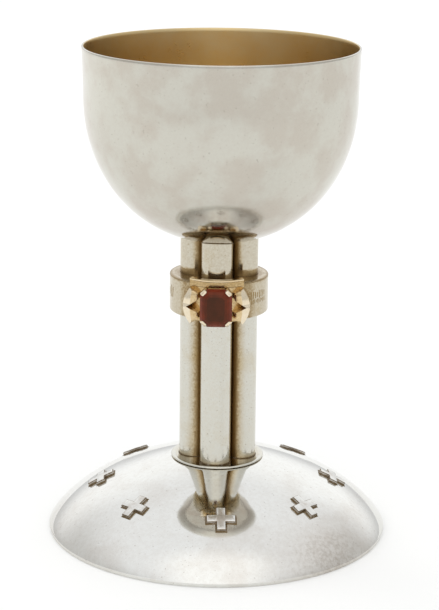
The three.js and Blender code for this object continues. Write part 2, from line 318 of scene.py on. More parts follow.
def node(tree, kind, inputs=None, out=0, **settings):
    """Adds a node and gives one of its outputs, or the node itself if it has none.

    Its inputs, by name or number, take a value, a colour or another node's output.
    """
    new = tree.nodes.new(f"ShaderNode{kind}")
    for key, value in settings.items():
        setattr(new, key, value)
    for key, value in (inputs or {}).items():
        socket = new.inputs[key]
        if isinstance(value, bpy.types.NodeSocket):
            tree.links.new(value, socket)
        elif socket.type == "RGBA":
            socket.default_value = (*value[:3], 1.0)
        else:
            socket.default_value = value
    return new.outputs[out] if new.outputs else new


def new_material(name):
    """An empty material, its node tree, and each point's place on the piece."""
    material = bpy.data.materials.new(name)
    material.use_nodes = True
    tree = material.node_tree
    tree.nodes.clear()
    return material, tree, node(tree, "TexCoord", out="Object")


# Settings for a soft ramp and for a mix of colours.
SOFT = {"interpolation_type": "SMOOTHSTEP"}
COLOURS = {"data_type": "RGBA", "out": 2}

# The grain and specks that all the metals share, and what each layer adds.
FRECKLE_RANGE = (0.3, 0.7)
SPECK_RANGE = (0.66, 0.76)
# How much the painted shade in corners warms the colour, and how much of the grain's freckles it
# takes in.
WARMTH_OF_PAINTED_SHADE = 0.8
FRECKLES_IN_CORNERS = 0.2
GRAIN_SHARE = 0.16
CLOUD_DULLNESS = 0.05
CORNER_DULLNESS = 0.24
GRAIN_DULLNESS = 0.015


def metal(
    name, colours, *, roughness, cloud_mm, cloud_range, cloud_share, freckle_mm, speck_mm,
    scratch_mm, scratch_deep_mm, wave_mm, wave_deep_mm, scratch_stretch=1.0, mottle=0.0,
    painted_shade_share=0.9, dark_range=(0.45, 1.15), speck_share=0.3,
):
    """A polished metal: clean, with a warm thin tarnish in clouds, and painted shade that warms
    and darkens its corners.

    Sizes and depths are in mm. The painted shade stored at each point says how deep in a
    corner it is; dark_range is where on it the painted darkening begins and is complete.
    """
    clean, warm, dark = colours
    material, tree, place = new_material(name)
    painted_shade = node(tree, "Attribute", out="Fac", attribute_name="painted_shade")
    # Each noise: the size of its features, its detail and its roughness.
    noises = (
        (cloud_mm, 4.0, 0.6), (freckle_mm, 4.0, 0.7), (speck_mm, 2.0, 0.5), (wave_mm, 1.0, 0.4),
    )
    clouds, freckles, pits, waves = (
        node(
            tree,
            "TexNoise",
            {"Vector": place, "Scale": 1 / (size * MM), "Detail": detail, "Roughness": rough},
        )
        for size, detail, rough in noises
    )
    ranges = ((clouds, cloud_range), (freckles, FRECKLE_RANGE), (pits, SPECK_RANGE))
    thin, grain, specks = (
        node(tree, "MapRange", {0: value, 1: start, 2: end}, **SOFT)
        for value, (start, end) in ranges
    )
    # Painted shade: the stored value warms the corners, then darkens them, mottled by the grain.
    near = node(tree, "Math", {0: painted_shade, 1: WARMTH_OF_PAINTED_SHADE}, operation="MULTIPLY")
    warmed, deep = (
        node(tree, "Math", terms, operation="MULTIPLY_ADD", use_clamp=True)
        for terms in (
            {0: thin, 1: cloud_share, 2: near},
            {0: grain, 1: FRECKLES_IN_CORNERS, 2: painted_shade},
        )
    )
    ends = {0: deep, 1: dark_range[0], 2: dark_range[1]}
    corners = node(tree, "MapRange", ends, **SOFT)
    blotches = node(tree, "Math", {0: grain, 1: painted_shade}, operation="MULTIPLY")
    tone = clean
    for amount, share, over in (
        (warmed, 1.0, warm),
        (grain, GRAIN_SHARE, warm),
        (blotches, mottle, dark),
        (corners, painted_shade_share, dark),
        (specks, speck_share, dark),
    ):
        part = node(tree, "Math", {0: amount, 1: share}, operation="MULTIPLY")
        tone = node(tree, "Mix", {0: part, 6: tone, 7: over}, **COLOURS)
    dulling = ((thin, CLOUD_DULLNESS), (corners, CORNER_DULLNESS), (grain, GRAIN_DULLNESS))
    for amount, share in dulling:
        dulled = {0: amount, 1: share, 2: roughness}
        roughness = node(tree, "Math", dulled, operation="MULTIPLY_ADD")
    # Fine polishing scratches run one way. They are drawn coarser than real ones, so
    # that they show at all.
    along = {"Vector": place, "Scale": (1.0, 1.0, scratch_stretch)}
    finely = {"Scale": 1 / (scratch_mm * MM), "Detail": 5.0, "Roughness": 0.75}
    scratches = node(tree, "TexNoise", {"Vector": node(tree, "Mapping", along), **finely})
    wavy = {"Strength": 1.0, "Distance": wave_deep_mm * MM, "Height": waves}
    scratched = {
        "Strength": 1.0,
        "Distance": scratch_deep_mm * MM,
        "Height": scratches,
        "Normal": node(tree, "Bump", wavy),
    }
    surface = {
        "Metallic": 1.0,
        "Base Color": tone,
        "Roughness": roughness,
        "Normal": node(tree, "Bump", scratched),
    }
    node(tree, "OutputMaterial", {"Surface": node(tree, "BsdfPrincipled", surface)})
    return material


def spun_sterling_silver(finish):
    """Sterling silver, spun over a former and satin polished.

    The eye gets soft, slightly clouded reflections and a faint warm mottle.
    """
    return metal(
        "spun_sterling_silver",
        (finish.worn_silver, finish.warm_silver, finish.tarnish),
        roughness=0.055, mottle=0.3,
        cloud_mm=15.0, cloud_range=(0.38, 0.62), cloud_share=0.5,
        freckle_mm=1.1, speck_mm=0.9,
        scratch_mm=1.6, scratch_deep_mm=0.006, scratch_stretch=9.0,
        wave_mm=17.0, wave_deep_mm=0.16,
    )


def polished_sterling_silver(finish):
    """Sterling silver, raised and polished bright, with brown painted shade round its trim.

    The eye gets clear reflections of the stem and dull clouds near the edge.
    """
    return metal(
        "polished_sterling_silver",
        (finish.silver, finish.warm_silver, finish.tarnish),
        roughness=0.035, mottle=0.1, painted_shade_share=0.95,
        cloud_mm=17.0, cloud_range=(0.46, 0.68), cloud_share=0.2,
        freckle_mm=1.6, speck_mm=1.0,
        scratch_mm=1.4, scratch_deep_mm=0.004,
        wave_mm=22.0, wave_deep_mm=0.10,
    )


def drawn_silver_tube(finish):
    """Drawn silver tube, soldered in place, polished on the outside only.

    The eye gets upright streaks, pits and brown painted shade where the tubes meet.
    """
    return metal(
        "drawn_silver_tube",
        (finish.tube_silver, finish.golden_tarnish, finish.groove_tarnish),
        roughness=0.12, mottle=0.5, dark_range=(0.66, 1.2),
        cloud_mm=12.0, cloud_range=(0.5, 0.75), cloud_share=0.25,
        freckle_mm=0.8, speck_mm=0.6, speck_share=0.8,
        scratch_mm=0.9, scratch_deep_mm=0.006, scratch_stretch=0.12,
        wave_mm=6.0, wave_deep_mm=0.05,
    )


def filed_silver_plate(finish):
    """Silver plate, sawn out, filed and rubbed soft.

    The eye gets a pale even face that doesn't mirror the foot, with bright edges.
    """
    return metal(
        "filed_silver_plate",
        (finish.silver, finish.warm_silver, finish.tarnish),
        roughness=0.3, mottle=0.3, painted_shade_share=1.0,
        cloud_mm=4.0, cloud_range=(0.45, 0.7), cloud_share=0.5,
        freckle_mm=0.9, speck_mm=0.7,
        scratch_mm=0.5, scratch_deep_mm=0.01,
        wave_mm=3.0, wave_deep_mm=0.03,
    )


def gilt_bowl_inside(finish):
    """Silver gilt inside by plating, dulled by use.

    The eye gets a brownish gold that deepens where the bowl reflects itself.
    """
    return metal(
        "gilt_bowl_inside",
        (finish.gilding, finish.dull_gilding, finish.deep_gold),
        roughness=0.27, painted_shade_share=0.6,
        cloud_mm=15.0, cloud_range=(0.3, 0.75), cloud_share=0.35,
        freckle_mm=2.0, speck_mm=1.2, speck_share=0.0,
        scratch_mm=1.2, scratch_deep_mm=0.004, scratch_stretch=6.0,
        wave_mm=12.0, wave_deep_mm=0.05,
    )


def burnished_pink_gold(finish):
    """Cast nine carat gold, filed to bevels and burnished.

    The eye gets bright creamy edges over dark brown corners, their shade painted in.
    """
    return metal(
        "burnished_pink_gold",
        (finish.gold, finish.yellow_gold, finish.deep_gold),
        roughness=0.11, painted_shade_share=1.0, dark_range=(0.7, 1.3),
        cloud_mm=3.0, cloud_range=(0.4, 0.7), cloud_share=0.12,
        freckle_mm=0.7, speck_mm=0.6, speck_share=0.2,
        scratch_mm=0.5, scratch_deep_mm=0.005,
        wave_mm=2.5, wave_deep_mm=0.03,
    )


def solder_with_painted_shadow(finish):
    """Hard solder in the seams, left dull.

    The eye gets a dark brown line round each applied piece, a painted shadow along its foot.
    """
    material, tree, place = new_material("solder_with_painted_shadow")
    uneven = {"Vector": place, "Scale": 1 / (1.4 * MM), "Detail": 4.0, "Roughness": 0.7}
    blotches = node(tree, "TexNoise", uneven)
    pale = node(tree, "MapRange", {0: blotches, 1: 0.48, 2: 0.85}, **SOFT)
    tones = {0: pale, 6: finish.tarnish, 7: finish.warm_silver}
    lumps = {"Strength": 0.8, "Distance": 0.05 * MM, "Height": blotches}
    dull = {
        "Metallic": 0.85,
        "Roughness": 0.42,
        "Base Color": node(tree, "Mix", tones, **COLOURS),
        "Normal": node(tree, "Bump", lumps),
    }
    node(tree, "OutputMaterial", {"Surface": node(tree, "BsdfPrincipled", dull)})
    return material


def step_cut_garnet(finish):
    """Garnet, step cut and polished.

    The eye gets a near black table with red at the edges where light passes.
    """
    material, tree, place = new_material("step_cut_garnet")
    cloudy = {"Vector": place, "Scale": 1 / (3.0 * MM), "Detail": 3.0, "Roughness": 0.5}
    veils = node(tree, "TexNoise", cloudy)
    veils = node(tree, "MapRange", {0: veils, 1: 0.35, 2: 0.65}, **SOFT)
    dark = [channel * 0.6 for channel in finish.garnet]
    tone = node(tree, "Mix", {0: veils, 6: finish.garnet, 7: dark}, **COLOURS)
    # The stored painted shade darkens the table towards garnet_depth, where no light passes.
    painted_shade = node(tree, "Attribute", out="Fac", attribute_name="painted_shade")
    depth = node(tree, "Math", {0: painted_shade, 1: 0.9}, operation="MULTIPLY")
    tones = {0: depth, 6: tone, 7: finish.garnet_depth}
    worn = {"Vector": place, "Scale": 1 / (0.5 * MM), "Detail": 3.0, "Roughness": 0.6}
    worn = node(tree, "TexNoise", worn)
    worn = node(tree, "MapRange", {0: worn, 1: 0.4, 2: 0.8}, **SOFT)
    rough = {0: worn, 1: 0.06, 2: 0.03}
    cut = {
        "IOR": 1.76,
        "Transmission Weight": 0.06,
        "Specular IOR Level": 0.16,
        "Specular Tint": (1.0, 0.72, 0.52),
        "Base Color": node(tree, "Mix", tones, **COLOURS),
        "Roughness": node(tree, "Math", rough, operation="MULTIPLY_ADD"),
    }
    node(tree, "OutputMaterial", {"Surface": node(tree, "BsdfPrincipled", cut)})
    return material


def pale_studio_paper(finish):
    """Matt studio paper under the object; the eye gets an even pale ground."""
    material, tree, place = new_material("pale_studio_paper")
    fibre = {"Vector": place, "Scale": 1 / (1.5 * MM), "Detail": 3.0, "Roughness": 0.6}
    fibre = node(tree, "TexNoise", fibre)
    shade = [channel * 0.985 for channel in finish.floor]
    tone = node(tree, "Mix", {0: fibre, 6: finish.floor, 7: shade}, **COLOURS)
    # Painted shade: the paper darkens towards the photographer, outside the picture, which keeps
    # the silver's front from mirroring it as white.
    along = node(tree, "SeparateXYZ", {"Vector": place}, "Y")
    ahead = node(tree, "MapRange", {0: along, 1: -0.11, 2: -1.6}, **SOFT)
    far = [channel * 0.9 for channel in finish.floor]
    matt = {
        "Roughness": 0.9,
        "Specular IOR Level": 0.1,
        "Emission Color": (1.0, 1.0, 1.0),
        "Emission Strength": 0.17,
        "Base Color": node(tree, "Mix", {0: ahead, 6: tone, 7: far}, **COLOURS),
    }
    node(tree, "OutputMaterial", {"Surface": node(tree, "BsdfPrincipled", matt)})
    return material


def material_of(make):
    """The material of a function's name, made the first time it is asked for."""
    found = bpy.data.materials.get(make.__name__)
    return found or make(bpy.context.scene.chalice_finish)


# Pieces


class CHALICE_OT_foot(bpy.types.Operator):
    """Spins the domed foot, with its rolled edge and hollow underside"""

    bl_idname = "chalice.foot"
    bl_label = "Foot"

    def execute(self, context):
        sizes = context.scene.chalice_sizes
        radius = sizes.foot_radius / MM
        edge = sizes.foot_edge / MM
        bearing = radius - sizes.foot_bearing / MM
        outside = dome_profile(sizes, 72)
        thick = sizes.foot_wall / MM
        lining = [(r, min(h, LINING_TOP)) for r, h in shifted(outside, thick) if r < bearing]
        groove = 0.04
        # The upright edge takes the place of the dome's first three points.
        profile = [
            *reversed(lining),
            (bearing, lining[0][1]), (bearing, 0.15), (bearing + 0.15, 0.0),
            (radius - 0.35, 0.0), (radius - 0.1, 0.12), (radius, 0.4), (radius, edge - 0.25),
            (radius - groove, edge - 0.05), (radius - groove, edge + 0.2),
            *outside[3:],
        ]
        points, faces = turned(profile, sizes.sides)
        inside_top = outside[-1][1] - thick
        dish = sizes.dish_radius / MM
        # Faint darker patches low on the dome, left and right: each one's direction, spread and
        # share.
        patches = ((-2.8, 0.42, 0.24), (-0.82, 0.45, 0.5))
        painted_shade = []
        for x, y, z in points:
            r = math.hypot(x, y)
            # Painted shade inside the hollow underside, deepest at the bottom.
            if z < dome_height(sizes, r) - 0.6 and r < radius - 1.5:
                painted_shade.append(0.75 - 0.25 * smoothstep(0, inside_top, z))
                continue
            angle = math.atan2(y, x)
            spots = (
                share * math.exp(-(((angle - at) / spread) ** 2))
                for at, spread, share in patches
            )
            # Painted shade under the dish, on the seat it stands on.
            seat = 1.0 - smoothstep(dish - 0.2, dish + 0.25, r)
            painted_shade.append(max(smoothstep(44, 62, r) * sum(spots), seat * 0.9))
        foot = mesh_piece("foot_dome", points, faces, painted_shade=painted_shade, sharp_deg=40)
        silver = material_of(polished_sterling_silver)
        dressed(foot, [silver], "silver", "foot")
        return {"FINISHED"}


class CHALICE_OT_dish(bpy.types.Operator):
    """Turns the dished disc between the foot and the columns"""

    bl_idname = "chalice.dish"
    bl_label = "Dish"

    def execute(self, context):
        sizes = context.scene.chalice_sizes
        radius = sizes.dish_radius / MM
        lip = sizes.dish_lip / MM
        top = DISH_HIGH.z
        under = DISH_LOW.z
        floor = top - 0.3
        profile = [
            (0.0, under), (radius - 0.35, under), (radius - 0.1, under + 0.12),
            (radius, under + 0.35), (radius, top - 0.3), (radius - 0.1, top - 0.1),
            (radius - 0.3, top), (radius - 0.9, top - 0.05),
            (radius - lip + 0.2, floor + 0.08), (radius - lip, floor), (9.0, floor), (0.0, floor),
        ]
        points, faces = turned(profile, 128)
        # Painted shade on the dish's floor inside the lip and on its underside.
        painted_shade = []
        for x, y, z in points:
            r = math.hypot(x, y)
            inner = 1 - smoothstep(radius - lip - 0.6, radius - lip + 0.4, r)
            painted_shade.append(0.55 * inner if z > under + 0.4 else 0.6 * (z < under + 0.2))
        dish = mesh_piece("stem_dish_turned", points, faces, painted_shade=painted_shade, sharp_deg=40)
        dressed(dish, [material_of(drawn_silver_tube)], "silver", "stem_dish")
        return {"FINISHED"}


def column_angle(index):
    """Angle of a column about the axis: right, back, left, front."""
    return math.radians(-5) + TAU / 4 * index


class CHALICE_OT_columns(bpy.types.Operator):
    """Draws the four round columns and fits their tops to the bowl"""

    bl_idname = "chalice.columns"
    bl_label = "Columns"

    def execute(self, context):
        sizes = context.scene.chalice_sizes
        offset = sizes.column_offset / MM
        names = ("column_right", "column_back", "column_left", "column_front")
        for index, name in enumerate(names):
            angle = column_angle(index)
            centre = (offset * math.cos(angle), offset * math.sin(angle))
            self.column(sizes, name, centre, angle)
        return {"FINISHED"}

    def column(self, sizes, name, centre, outward):
        sides = 64
        rows = 120
        gap = 0.05
        radius = sizes.column_radius / MM
        bottom = DISH_HIGH.z - 0.28
        points = []
        painted_shade = []
        for row in range(rows + 1):
            for k in range(sides):
                turn = TAU * k / sides
                x = centre[0] + radius * math.cos(turn)
                y = centre[1] + radius * math.sin(turn)
                top = bowl_height(sizes, math.hypot(x, y)) - gap
                height = bottom + (top - bottom) * (row / rows)
                away = abs((turn - outward + math.pi) % TAU - math.pi)
                points.append((x, y, height))
                painted_shade.append(self.darkness(height, bottom, top, away))
        rings = in_rings(points, sides)
        tip = len(points)
        points.append((*centre, bottom))
        points.append((*centre, bowl_height(sizes, math.hypot(*centre)) - gap))
        painted_shade.extend([1.0, 1.0])
        tube = (points, skin([[tip], *rings, [tip + 1]]))
        # A thin bead of solder closes the seam under the bowl and on the dish, dark as the seam's
        # painted shadow.
        beads = [self.bead(sizes, centre, radius, level) for level in ("bowl", "dish")]
        points, faces = joined([tube, *beads])
        painted_shade.extend([0.8] * (len(points) - len(painted_shade)))
        slots = [0] * len(tube[1]) + [1] * (len(faces) - len(tube[1]))
        column = mesh_piece(f"{name}_tube", points, faces, slots, painted_shade, 40)
        silver = material_of(drawn_silver_tube)
        seam = material_of(solder_with_painted_shadow)
        dressed(column, [silver, seam], "silver", name)

    def darkness(self, height, bottom, top, away):
        """How much painted shade a point gets: in the grooves, at both ends, lightly above the
        collar, and as a painted reflection of the collar's top just above it.
        """
        groove = smoothstep(math.radians(62), math.radians(108), away)
        above = height - RING_HIGH.z
        ends = max(
            1 - smoothstep(0.0, 3.0, height - bottom),
            1 - smoothstep(0.0, 1.8, top - height),
            1 - smoothstep(0.0, 2.5, abs(above)),
            1 - smoothstep(0.0, 2.0, abs(height - RING_LOW.z)),
        )
        upper = 0.35 if above > 0 else 0.0
        skirt = 1 - smoothstep(2.2, 3.2, above) if above > -0.5 else 0.0
        return min(1.0, max(groove, 0.55 * ends, upper, skirt))

    def bead(self, sizes, centre, radius, level):
        """A closed ring of small round section along one end of a column."""
        sides, section, thick = 64, 8, 0.22
        points = []
        for k in range(sides):
            turn = TAU * k / sides
            for s in range(section):
                swing = TAU * s / section
                reach = radius + thick * 0.4 + thick * math.cos(swing)
                x = centre[0] + reach * math.cos(turn)
                y = centre[1] + reach * math.sin(turn)
                if level == "bowl":
                    height = bowl_height(sizes, math.hypot(x, y)) - 0.1
                else:
                    height = DISH_HIGH.z - 0.26
                points.append((x, y, height + thick * math.sin(swing)))
        rings = [range(s, len(points), section) for s in range(section)]
        return points, skin(rings, closed=True)


def stroke_depth(angle, height, rows):
    """Depth of the engraved strokes at a place on the collar: short upright cuts."""
    for middle, tall, pitch, start, end in rows:
        up = (height - middle) / (tall / 2)
        if not start < angle < end or abs(up) > 1:
            continue
        along = (angle - start) / pitch
        cell = int(along)
        lean = ((cell * 7) % 5 - 2) * 0.06
        reach = 0.55 + 0.45 * ((cell * 3) % 4) / 3
        if abs(up) < reach:
            return 1 - smoothstep(0.15, 0.3, abs(along - cell - 0.5 - lean * up))
    return 0.0


class CHALICE_OT_collar(bpy.types.Operator):
    """Makes the collar round the columns, with its rows of engraved strokes"""

    bl_idname = "chalice.collar"
    bl_label = "Collar"

    def execute(self, context):
        sizes = context.scene.chalice_sizes
        radius = sizes.collar_radius / MM
        low, high = RING_LOW.z, RING_HIGH.z
        turns = 960
        edge = 0.55
        middle = (low + high) / 2
        # Each row of strokes: its middle and height, pitch, and first and last angle.
        strokes = [
            (middle + 1.6, 3.0, 0.062, -0.96, -0.40),
            (middle - 0.9, 1.8, 0.045, -0.92, -0.40),
            (middle + 0.9, 4.6, 0.09, -2.98, -2.70),
        ]
        corner = [math.radians(a) for a in (90, 67, 45, 22)]
        rounded = [(radius - edge + edge * math.cos(a), edge - edge * math.sin(a)) for a in corner]
        steps = 46
        straight = high - low - 2 * edge
        wall = [(r, high - down) for r, down in rounded]
        wall += [(radius, high - edge - straight * i / steps) for i in range(steps + 1)]
        wall += [(r, low + up) for r, up in reversed(rounded)]
        # The flat ends, by their share of the way from the bore to the edge; their painted shade
        # deepens towards the bore.
        top = [(i / 6, high) for i in range(6)]
        bottom = [(0.5, low), (0.0, low)]
        points = []
        painted_shade = []
        for k in range(turns):
            angle = TAU * k / turns - math.pi
            inner = self.bore(sizes, angle)
            width = radius - edge - inner
            flats = [
                [(inner + width * out, z, 0.95 - 0.3 * out) for out, z in flat]
                for flat in (top, bottom)
            ]
            sides = [self.wall_point(angle, high, strokes, r, z) for r, z in wall]
            column = [*flats[0], *sides, *flats[1]]
            for r, z, dark in column:
                points.append((r * math.cos(angle), r * math.sin(angle), z))
                painted_shade.append(dark)
        faces = skin(in_rings(points, len(column)), closed=True)
        collar = mesh_piece("knop_collar", points, faces, painted_shade=painted_shade, sharp_deg=38)
        tube = material_of(drawn_silver_tube)
        dressed(collar, [tube], "silver", "knop_ring")
        return {"FINISHED"}

    def wall_point(self, angle, high, strokes, radius, height):
        """A point of the outer wall with its strokes cut, and its painted shade: in the cuts,
        towards the top edge and beside the setting.
        """
        cut = stroke_depth(angle, height, strokes)
        beside_setting = abs(abs(angle + 1.61) - 0.62)
        near = 1 - smoothstep(0.06, 0.5, beside_setting)
        top_edge = smoothstep(high - 1.5, high, height)
        dark = max(1.3 * cut, 0.5 + 0.4 * top_edge, 0.85 * near)
        return radius - 0.16 * cut, height, dark

    def bore(self, sizes, angle):
        """Radius of the collar's four-lobed opening in one direction."""
        core = 8.0
        reach = core
        offset = sizes.column_offset / MM
        lobe = sizes.column_radius / MM + 0.12
        for index in range(4):
            away = angle - column_angle(index)
            beside = offset * math.sin(away)
            if abs(beside) < lobe and math.cos(away) > 0:
                far = offset * math.cos(away) + math.sqrt(lobe**2 - beside**2)
                reach = max(reach, far)
        return reach


class CHALICE_OT_bowl(bpy.types.Operator):
    """Spins the bowl, silver outside and gilt inside"""

    bl_idname = "chalice.bowl"
    bl_label = "Bowl"

    def execute(self, context):
        sizes = context.scene.chalice_sizes
        wall = sizes.bowl_wall / MM
        rim = sizes.bowl_rim / MM
        top = BOWL_HIGH.z
        outside = bowl_profile(sizes, 72)
        belly_radius, belly = outside[-2]
        side = []
        side_rows = 16
        flare_power = 1.6
        for i in range(1, side_rows + 1):
            up = i / side_rows
            radius = belly_radius + (rim - belly_radius) * up**flare_power
            side.append((radius, belly + (top - 0.3 - belly) * up))
        outside = outside[:-1] + side
        lining = shifted(outside, wall)
        rounded = 0.3
        lip = [
            (rim - wall / 2 + wall / 2 * math.cos(a), top - rounded + rounded * math.sin(a))
            for a in map(math.radians, (30, 60, 90, 120, 150))
        ]
        profile = [*outside, *lip, *reversed(lining)]
        points, faces = turned(profile, sizes.sides)
        gilt_from = len(outside) + 3
        slots = [
            int(i >= gilt_from) for i in range(len(profile) - 1) for _ in range(sizes.sides)
        ]
        # Painted shade on the outside, under the bowl near the stem and towards its bottom.
        painted_shade = []
        for x, y, z in points:
            r = math.hypot(x, y)
            near_stem = 1 - smoothstep(14.0, 17.0, r)
            low = 0.42 * (1 - smoothstep(24.0, 48.0, r))
            outside_skin = z < belly and z <= bowl_height(sizes, r) + 0.2
            painted_shade.append(max(0.7 * near_stem, low) if outside_skin else 0.0)
        bowl = mesh_piece("bowl_spun", points, faces, slots, painted_shade, 50)
        silver = material_of(spun_sterling_silver)
        gilt = material_of(gilt_bowl_inside)
        dressed(bowl, [silver, gilt], "silver", "bowl")
        return {"FINISHED"}


def cross_outline(span, arm):
    """The twelve corners of an equal-armed cross, anticlockwise."""
    h, q = span / 2, arm / 2
    return [
        (q, h), (-q, h), (-q, q), (-h, q), (-h, -q), (-q, -q),
        (-q, -h), (q, -h), (q, -q), (h, -q), (h, q), (q, q),
    ]


class CHALICE_OT_crosses(bpy.types.Operator):
    """Saws the eight small crosses and lays them on the foot"""

    bl_idname = "chalice.crosses"
    bl_label = "Crosses"

    def execute(self, context):
        for index in range(8):
            self.cross(context.scene.chalice_sizes, index)
        return {"FINISHED"}

    def cross(self, sizes, index):
        turn = math.radians(2.2) + TAU / 8 * index
        circle = sizes.cross_circle / MM
        rise = sizes.cross_rise / MM
        # Each layer: how far the outline is drawn in, its height, whether it is solder
        # and how much painted shade it gets; the side walls and a thin chamfer round the top are
        # painted dark as shade.
        layers = [
            (-0.5, -0.25, 1, 0.855),
            (-0.5, 0.04, 1, 0.855),
            (-0.15, 0.2, 1, 0.855),
            (0.0, 0.34, 1, 0.855),
            (0.0, rise - 0.45, 0, 0.36),
            (0.0, rise - 0.28, 0, 0.9),
            (0.26, rise - 0.1, 0, 0.9),
            (0.3, rise - 0.08, 0, 0.0),
            (0.5, rise, 0, 0.0),
        ]
        points = []
        painted_shade = []
        for inset, height, _, dark in layers:
            for u, v in self.ring(sizes, inset):
                # A little painted reflection darkens the middle of the face.
                near = 1 - smoothstep(2.2, 3.4, math.hypot(u, v))
                points.append(self.placed(sizes, circle, turn, u, v, height))
                painted_shade.append(max(dark, 0.15 * near))
        count = len(points) // len(layers)
        faces = skin(in_rings(points, count))
        slots = [solder for _, _, solder, _ in layers[1:] for _ in range(count)]
        top = len(points) - count
        for face in self.caps(count):
            faces.append(tuple(top + i for i in face))
            slots.append(0)
        for face in self.caps(count):
            faces.append(face[::-1])
            slots.append(1)
        cross = mesh_piece(f"cross_{index + 1}_sawn", points, faces, slots, painted_shade, 30)
        silver = material_of(filed_silver_plate)
        seam = material_of(solder_with_painted_shadow)
        dressed(cross, [silver, seam], "silver", f"cross_{index + 1}")

    def ring(self, sizes, inset):
        """The outline drawn in by an inset, with each side divided in four."""
        span = sizes.cross_span / MM - 2 * inset
        arm = sizes.cross_arm / MM - 2 * inset
        corners = cross_outline(span, arm)
        ring = []
        for i, (u0, v0) in enumerate(corners):
            u1, v1 = corners[(i + 1) % len(corners)]
            for share in (0.0, 0.25, 0.5, 0.75):
                ring.append((u0 + (u1 - u0) * share, v0 + (v1 - v0) * share))
        return ring

    def caps(self, count):
        """Faces that fill a divided cross outline: its four arms and its middle."""
        side = count // 12
        inner_corners = [(arm * 3 + 11) % 12 * side for arm in range(4)]
        faces = []
        for start in inner_corners:
            going = [(start + i) % count for i in range(side + 1)]
            tip = [(start + side + i) % count for i in range(side + 1)]
            back = [(start + 3 * side - i) % count for i in range(side + 1)]
            for i in range(side - 1):
                faces.append((back[i], going[i], going[i + 1], back[i + 1]))
            faces.append((back[-2], going[-2], *tip))
        faces.append(tuple(inner_corners))
        return faces

    def placed(self, sizes, circle, turn, u, v, height):
        """A point of the cross, bent over the dome at the cross's place."""
        slope = math.atan(-dome_slope(sizes, circle))
        x, y = u, -circle - v * math.cos(slope)
        radius = math.hypot(x, y)
        lean = math.atan(-dome_slope(sizes, radius))
        ground = dome_height(sizes, radius)
        out = Vector((x, y, 0)).normalized()
        point = Vector((x, y, ground)) + out * (math.sin(lean) * height)
        point.z += math.cos(lean) * height
        return tuple(Matrix.Rotation(turn, 3, "Z") @ point)


# Setting and stone. They are drawn square to the front and then turned with the collar.

SETTING_TURN = math.radians(-2.5)
SETTING_MIDDLE = (RING_LOW.z + RING_HIGH.z) / 2 - 0.95
GIRDLE = RING_HIGH.x + 4.0


def turned_front(points):
    turn = Matrix.Rotation(SETTING_TURN, 3, "Z")
    return [tuple(turn @ Vector(p)) for p in points]


def lofted(outlines):
    """Points and faces of a solid through outlines, anticlockwise seen from the last."""
    points = [point for outline in outlines for point in outline]
    rings = in_rings(points, len(outlines[0]))
    return points, [*skin(rings), tuple(reversed(rings[0])), tuple(rings[-1])]


def cut_corners(x, z, cut):
    """The eight corners of an upright rectangle with its corners cut off."""
    a, b = x - cut, z - cut
    return [(a, z), (-a, z), (-x, b), (-x, -b), (-a, -z), (a, -z), (x, -b), (x, b)]


def octagon(sizes, inset, distance):
    """The stone's outline made smaller by an inset, at a distance from the axis."""
    x = sizes.stone_width / MM / 2 - inset
    z = sizes.stone_height / MM / 2 - inset
    cut = sizes.stone_corner / MM - inset * (2 - math.sqrt(2))
    return [(px, -distance, SETTING_MIDDLE + pz) for px, pz in cut_corners(x, z, cut)]


class CHALICE_OT_stone(bpy.types.Operator):
    """Cuts the upright step-cut stone"""

    bl_idname = "chalice.stone"
    bl_label = "Stone"

    def execute(self, context):
        sizes = context.scene.chalice_sizes
        # Each ring: how far it is drawn in, how far before the girdle, and how much painted shade
        # it gets, deepest on the table.
        steps = [
            (2.6, -1.28, 0.2), (1.4, -0.9, 0.2), (0.04, 0.0, 0.0), (0.0, 0.06, 0.0),
            (0.0, 0.44, 0.0), (0.05, 0.5, 0.05), (0.9, 1.45, 0.2), (0.92, 1.46, 0.4),
            (1.85, 2.05, 0.4), (1.87, 2.06, 0.6), (2.7, 2.35, 0.6), (2.72, 2.35, 0.9),
        ]
        rings = [octagon(sizes, inset, GIRDLE + out) for inset, out, _ in steps]
        points, faces = lofted(rings)
        painted_shade = [depth for _, _, depth in steps for _ in range(8)]
        points = turned_front(points)
        stone = mesh_piece("garnet_step_cut", points, faces, None, painted_shade, 5)
        garnet = material_of(step_cut_garnet)
        dressed(stone, [garnet], "garnet", "garnet")
        return {"FINISHED"}


def wing(side, collar, middle):
    """A wing in cuts from its lower to its upper tip, with the painted shade of each point.

    Outside it is a crescent bevel up to a ridge; its inner face falls towards the stone
    and has a pointed notch.
    """
    tall, tip, bulge, inner = 6.85, 10.1, 12.65, 6.9
    notch_tall, notch_reach = 2.6, 11.4
    crescent, high, low, back = 2.7, collar + 3.25, collar + 1.3, collar - 5.5
    steps = 64
    rings = []
    darks = []
    for i in range(steps + 1):
        share = 2 * i / steps - 1
        share = 0.45 * share + 0.55 * share**3
        z = tall * share
        outer = tip + (bulge - tip) * (1 - share**2)
        open_share = max(0.0, 1 - abs(z) / notch_tall)
        mouth = tip + (inner - tip) * min(1.0, (tall - abs(z)) / 1.9)
        edge = mouth + (notch_reach - mouth) * open_share
        edge = min(edge, outer - 0.3)
        ridge = max(outer - crescent * math.sqrt(max(0.0, 1 - share**2)), edge + 0.1)
        ridge = min(ridge, outer - 0.15)
        crest = low + 0.2 + (high - low - 0.2) * (1 - share**6)
        fall = crest - 0.32 * (ridge - edge)
        cut = [(outer, back), (outer, low), (ridge, crest)]
        cut += [(ridge - 0.04, crest - 0.02), (edge, fall), (edge, back)]
        cut = [(side * x, -out, middle + z) for x, out in cut]
        # Painted shade on the back, the inner face and the notch; the bright bevel gets none.
        dark = [0.6, 0.0, 0.0, 0.62, 0.75, 0.85]
        if side > 0:
            cut.reverse()
            dark.reverse()
        rings.append(cut)
        darks.extend(dark)
    return (*lofted(rings), darks)


